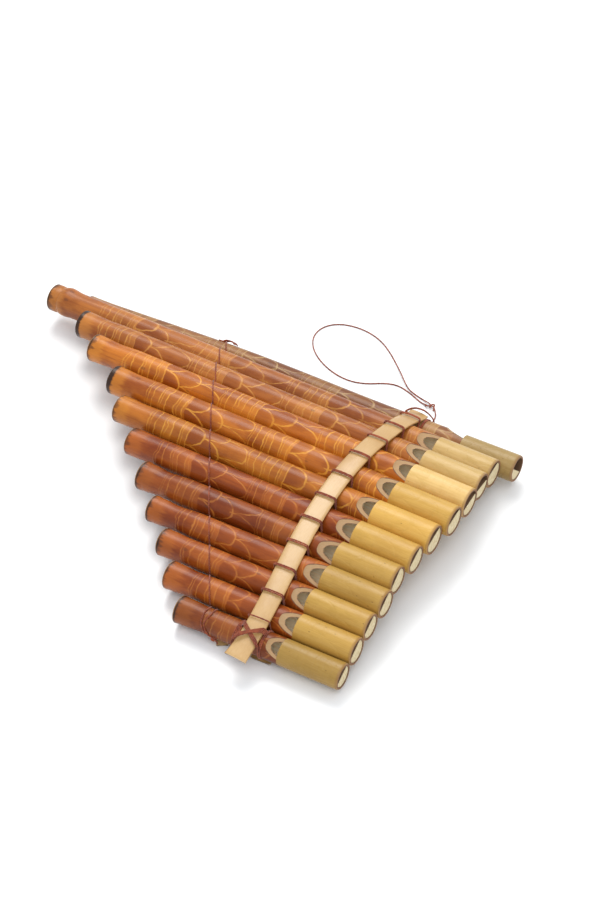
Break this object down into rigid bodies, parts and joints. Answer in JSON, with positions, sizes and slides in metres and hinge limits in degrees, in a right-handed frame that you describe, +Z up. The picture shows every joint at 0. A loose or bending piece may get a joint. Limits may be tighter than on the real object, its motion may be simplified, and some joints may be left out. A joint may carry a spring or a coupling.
{
  "type": "pan flute",
  "caption": "Arched pan flute of graduated bamboo pipes with whistle windows, lashed to bent bamboo bars, with a hanging cord.",
  "frame": {"origin": "middle of the base of the bounding box, on the table the flute lies on; the hanging cord is not counted", "axes": "+X along the pipes towards the mouth ends, +Y across the pipes from the shortest to the longest, +Z up out of the arch"},
  "size_m": [0.4002, 0.3528, 0.0474],
  "materials": {
    "stained_bamboo": "stained and varnished bamboo with scratched pattern, natural yellow mouthpiece",
    "natural_bamboo": "pale split bamboo, satin",
    "plug_wood": "pale soft wood, matte",
    "binding_cord": "twisted red-brown cord"
  },
  "bodies": {
    "root": {"pipe_01": "stained_bamboo", "pipe_02": "stained_bamboo", "pipe_03": "stained_bamboo", "pipe_04": "stained_bamboo", "pipe_05": "stained_bamboo", "pipe_06": "stained_bamboo", "pipe_07": "stained_bamboo", "pipe_08": "stained_bamboo", "pipe_09": "stained_bamboo", "pipe_10": "stained_bamboo", "pipe_11": "stained_bamboo", "pipe_12": "stained_bamboo", "fipple_plug_01": "plug_wood", "fipple_plug_02": "plug_wood", "fipple_plug_03": "plug_wood", "fipple_plug_04": "plug_wood", "fipple_plug_05": "plug_wood", "fipple_plug_06": "plug_wood", "fipple_plug_07": "plug_wood", "fipple_plug_08": "plug_wood", "fipple_plug_09": "plug_wood", "fipple_plug_10": "plug_wood", "fipple_plug_11": "plug_wood", "fipple_plug_12": "plug_wood", "front_bar": "natural_bamboo", "rear_bar": "natural_bamboo", "rear_strip": "natural_bamboo", "bar_lashing": "binding_cord", "near_end_lashing": "binding_cord", "far_end_lashing": "binding_cord", "strip_lashing": "binding_cord", "cord_tether": "binding_cord", "hanging_loop": "binding_cord", "loop_knot": "binding_cord"}
  },
  "joints": []
}
